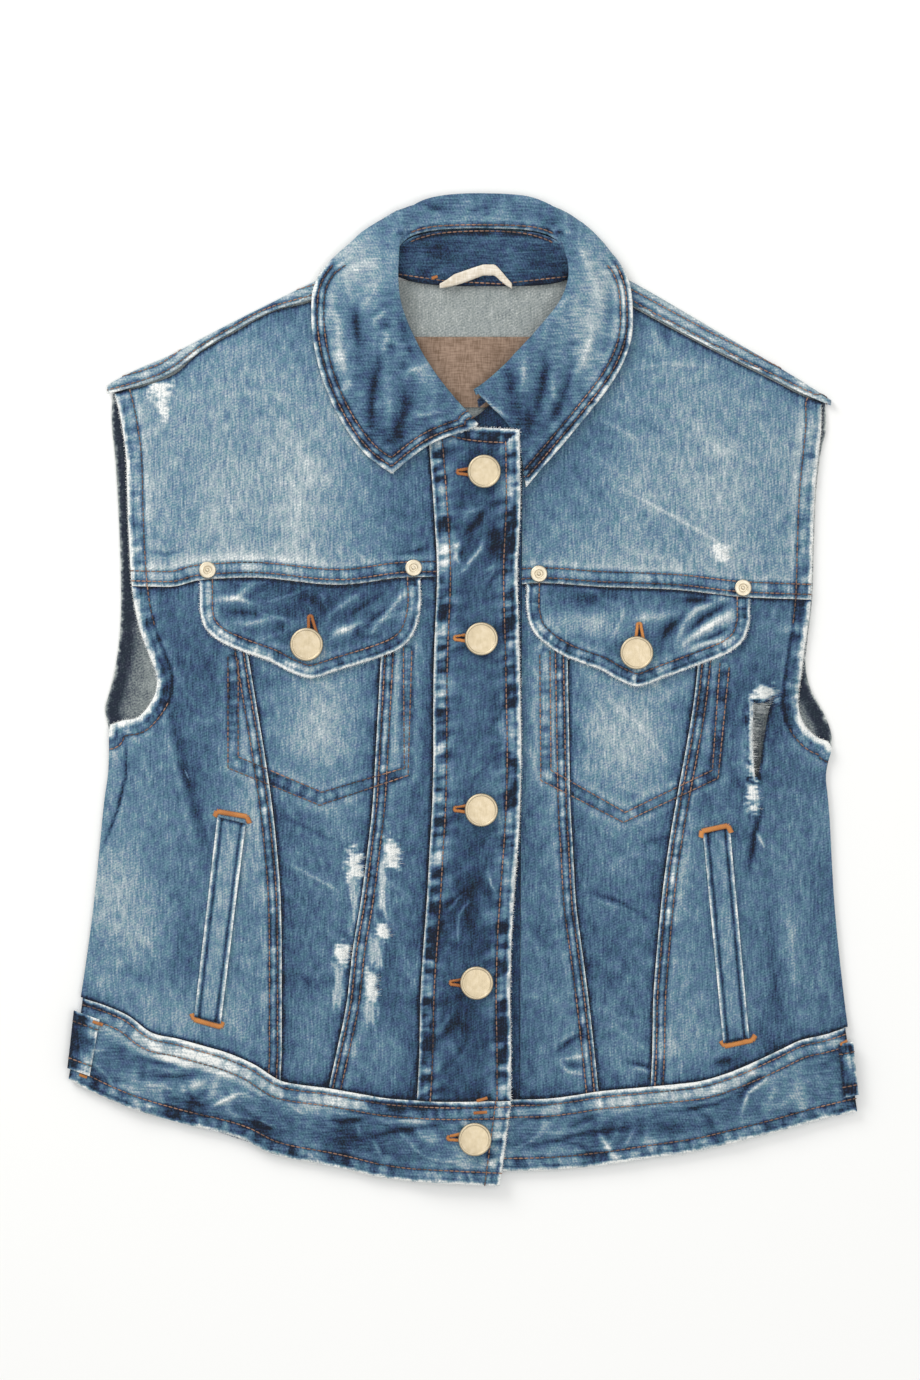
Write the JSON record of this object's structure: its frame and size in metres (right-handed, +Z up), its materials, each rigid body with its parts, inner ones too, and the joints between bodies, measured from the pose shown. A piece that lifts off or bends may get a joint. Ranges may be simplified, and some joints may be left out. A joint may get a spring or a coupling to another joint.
{
  "type": "gilet",
  "caption": "Sleeveless denim jacket lying flat and buttoned up, with a turned-down collar, chest pocket flaps, welt pockets, a waistband and brass tack buttons.",
  "frame": {"origin": "on the ground, under the middle of the garment's box", "axes": "+X to the viewer's right, +Y from the hem towards the collar, +Z up out of the front"},
  "size_m": [0.4264, 0.535, 0.0143],
  "materials": {
    "faded_denim": "stone-washed stretch denim, faded nearly white along worn edges",
    "washed_denim": "stone-washed stretch denim with whiskers and seam puckers",
    "dark_denim": "less worn indigo denim with whiskers",
    "denim_wrong_side": "grey wrong side of the denim, white weft showing",
    "label_cloth": "brown woven label, bare",
    "cotton_tape": "pale woven cotton tape",
    "pale_brass": "pale brushed brass, slightly worn"
  },
  "bodies": {
    "root": {"back_panel": "denim_wrong_side", "shoulder_left": "faded_denim", "shoulder_right": "faded_denim", "front_yoke_left": "faded_denim", "front_yoke_right": "faded_denim", "front_side_left": "washed_denim", "front_mid_left": "faded_denim", "front_center_left": "washed_denim", "front_center_right": "washed_denim", "front_mid_right": "faded_denim", "front_side_right": "washed_denim", "placket_over": "dark_denim", "placket_under": "dark_denim", "waistband_left": "washed_denim", "waistband_right": "washed_denim", "waistband_back": "washed_denim", "collar_stand": "washed_denim", "collar_leaf": "washed_denim", "flap_left": "washed_denim", "flap_right": "washed_denim", "welt_left": "washed_denim", "welt_right": "washed_denim", "hem_tab_left": "washed_denim", "hem_tab_right": "washed_denim", "neck_label": "label_cloth", "hanger_loop": "cotton_tape", "button_1": "pale_brass", "button_2": "pale_brass", "button_3": "pale_brass", "button_4": "pale_brass", "button_5": "pale_brass", "flap_button_left": "pale_brass", "flap_button_right": "pale_brass", "rivet_1": "pale_brass", "rivet_2": "pale_brass", "rivet_3": "pale_brass", "rivet_4": "pale_brass"}
  },
  "joints": []
}
